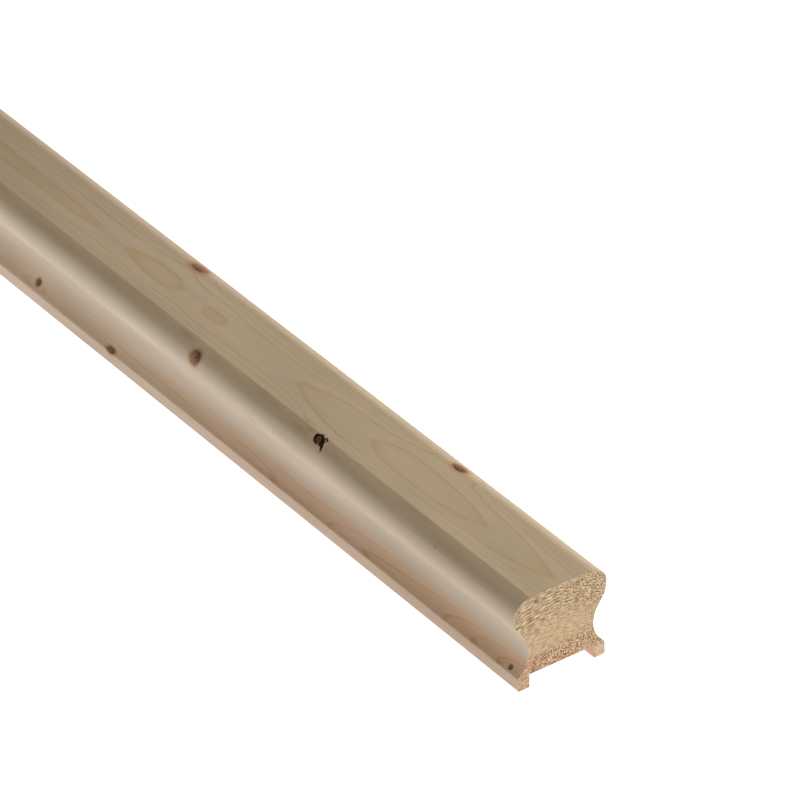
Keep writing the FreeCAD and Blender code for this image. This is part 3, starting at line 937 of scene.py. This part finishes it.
gritty = {
    "Value": place_y, "From Min": -HALF_TOP * MM, "From Max": HALF_TOP * MM,
    "To Min": GRIT_LEAST, "To Max": GRIT_MOST,
}
gritty = node(tree, "MapRange", gritty).outputs[0]
share = {0: grown["Heart"], 1: GRIT_HEART, 2: gritty}
share = node(tree, "Math", share, operation="MULTIPLY_ADD").outputs[0]
marks = node(tree, "Mix", {0: share, 2: streak, 3: grit}).outputs[0]
rough = node(tree, "Math", {0: upper, 1: grown["Heart"]}, operation="MAXIMUM").outputs[0]
rough = node(tree, "MapRange", {"Value": rough, "To Min": MARKS_FAINT, "To Max": MARKS_STRONG}).outputs[0]
for low, high, tint in (
    (FURROW_FROM, FURROW_FULL, END_FURROW), (RAISED_FROM, RAISED_FULL, END_FIBRE_AND_REFLECTION),
):
    share = node(tree, "MapRange", {"Value": marks, "From Min": low, "From Max": high}).outputs[0]
    share = node(tree, "Math", {0: share, 1: rough}, operation="MULTIPLY").outputs[0]
    colour = node(tree, "Mix", {0: share, 6: colour, 7: linear(tint)}, data_type="RGBA").outputs[2]
# Painted reflection: the lower ends of the legs are painted paler, towards white, a little on -Y and most on
# +Y.
leg_reflection = {"Value": place_z, "From Min": LEG_REFLECTION_FROM * MM, "From Max": LEG_REFLECTION_FULL * MM}
leg_reflection = node(tree, "MapRange", leg_reflection).outputs[0]
reflection_side = {
    "Value": place_y, "From Min": -LEG_OUT * MM, "From Max": LEG_OUT * MM,
    "To Min": LEG_REFLECTION_LEAST, "To Max": LEG_REFLECTION_MOST,
}
reflection_side = node(tree, "MapRange", reflection_side).outputs[0]
leg_reflection = node(tree, "Math", {0: leg_reflection, 1: reflection_side}, operation="MULTIPLY").outputs[0]
colour = node(tree, "Mix", {0: leg_reflection, 6: colour, 7: linear(END_FIBRE_AND_REFLECTION)}, data_type="RGBA").outputs[2]
tree.links.new(colour, wood.inputs["Base Color"])
wood.inputs["Roughness"].default_value = SAWN_DULL
wood.inputs["Specular IOR Level"].default_value = SAWN_SHEEN
mesh.materials.append(sawn_pine)

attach(rail, "root")
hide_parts("handrail")

# The table
# A white light table, large enough to run out of every view. It glows about as bright as white paper and a
# touch cool, so it lights the rail softly from below, and it takes the faint shadow that the lamps throw.
TABLE_REACH = 40.0
TABLE_COOL = "#edf3ff"
TABLE_WHITE = "#ffffff"
TABLE_PAINT = "#e6e6e6"
COOL_TO = 2.0
WHITE_FROM = 6.0
table_corners = [(-TABLE_REACH, -TABLE_REACH, 0), (TABLE_REACH, -TABLE_REACH, 0)]
table_corners += [(TABLE_REACH, TABLE_REACH, 0), (-TABLE_REACH, TABLE_REACH, 0)]
table_mesh = bpy.data.meshes.new("light_table")
table_mesh.from_pydata(table_corners, [], [(0, 1, 2, 3)])
table = bpy.data.objects.new("light_table", table_mesh)
bpy.context.scene.collection.objects.link(table)
opal = bpy.data.materials.new("opal_table_top")
opal.use_nodes = True
tree = opal.node_tree
tree.nodes.clear()
place = node(tree, "TexCoord").outputs["Object"]
away = node(tree, "VectorMath", {0: place}, operation="LENGTH").outputs["Value"]
share = node(tree, "MapRange", {"Value": away, "From Min": COOL_TO, "From Max": WHITE_FROM}).outputs[0]
glow = {0: share, 6: linear(TABLE_COOL), 7: linear(TABLE_WHITE)}
glow = node(tree, "Mix", glow, data_type="RGBA").outputs[2]
lit = node(tree, "Emission", {"Color": glow, "Strength": 1.0}).outputs[0]
paint = node(tree, "BsdfDiffuse", {"Color": linear(TABLE_PAINT)}).outputs[0]
both = node(tree, "AddShader", {0: paint, 1: lit}).outputs[0]
node(tree, "OutputMaterial", {"Surface": both})
table_mesh.materials.append(opal)

# The light
# Three soft boxes, a touch warm: the strongest above and behind the near end, a weak one overhead and a weak
# low one in front. What is behind the table is white where it is seen, and gives no light of its own.
world = bpy.data.worlds.new("white_room")
world.use_nodes = True
bpy.context.scene.world = world
tree = world.node_tree
tree.nodes.clear()
path = node(tree, "LightPath").outputs
seen = {0: path["Is Camera Ray"], 1: path["Is Glossy Ray"]}
seen = node(tree, "Math", seen, operation="MAXIMUM").outputs[0]
seen = node(tree, "Math", {0: seen, 1: path["Is Transmission Ray"]}, operation="MAXIMUM").outputs[0]
sky = node(tree, "Background", {"Color": linear("#ffffff"), "Strength": seen}).outputs[0]
node(tree, "OutputWorld", {"Surface": sky})

AIM = Vector((1.0, 0.0, 0.04))
BOX_SIZE = 0.6
BOX_WARM = "#fff8e4"
for name, stands, power in (
    ("back_box", Vector((1.4, 1.2, 0.85)), 18.6),
    ("overhead_box", Vector((1.4, 0.0, 1.5)), 3.9),
    ("front_box", Vector((0.2, -1.5, 0.25)), 8.3),
):
    lamp = bpy.data.lights.new(name, "AREA")
    lamp.size = BOX_SIZE
    lamp.energy = power
    lamp.color = linear(BOX_WARM)[:3]
    holder = bpy.data.objects.new(name, lamp)
    bpy.context.scene.collection.objects.link(holder)
    holder.location = stands
    holder.rotation_euler = (AIM - stands).to_track_quat("-Z", "Y").to_euler()
    holder.visible_camera = False

# The camera
# A long lens on a stand, looking down on the near end from the front right and leaning very slightly.
# Its focal length is in pixels of a picture that is 800 pixels wide.
EYE = Vector((3.1566, -1.4211, 1.7963))
AZIMUTH = math.radians(55.86)
ELEVATION = math.radians(33.90)
ROLL = math.radians(-2.01)
SENSOR = 36.0
FOCAL_PIXELS = 5857
FRAME_PIXELS = 800
level = math.cos(ELEVATION)
back = Vector((math.sin(AZIMUTH) * level, -math.cos(AZIMUTH) * level, math.sin(ELEVATION)))
right = Vector((math.cos(AZIMUTH), math.sin(AZIMUTH), 0))
up = back.cross(right)
turned_right = right * math.cos(ROLL) + up * math.sin(ROLL)
turned_up = up * math.cos(ROLL) - right * math.sin(ROLL)
lens = bpy.data.cameras.new("camera")
lens.sensor_width = SENSOR
lens.lens = FOCAL_PIXELS / FRAME_PIXELS * SENSOR
camera = bpy.data.objects.new("camera", lens)
bpy.context.scene.collection.objects.link(camera)
turn = Matrix((turned_right, turned_up, back)).transposed().to_4x4()
camera.matrix_world = Matrix.Translation(EYE) @ turn
bpy.context.scene.camera = camera
bpy.context.scene.view_settings.view_transform = "Standard"
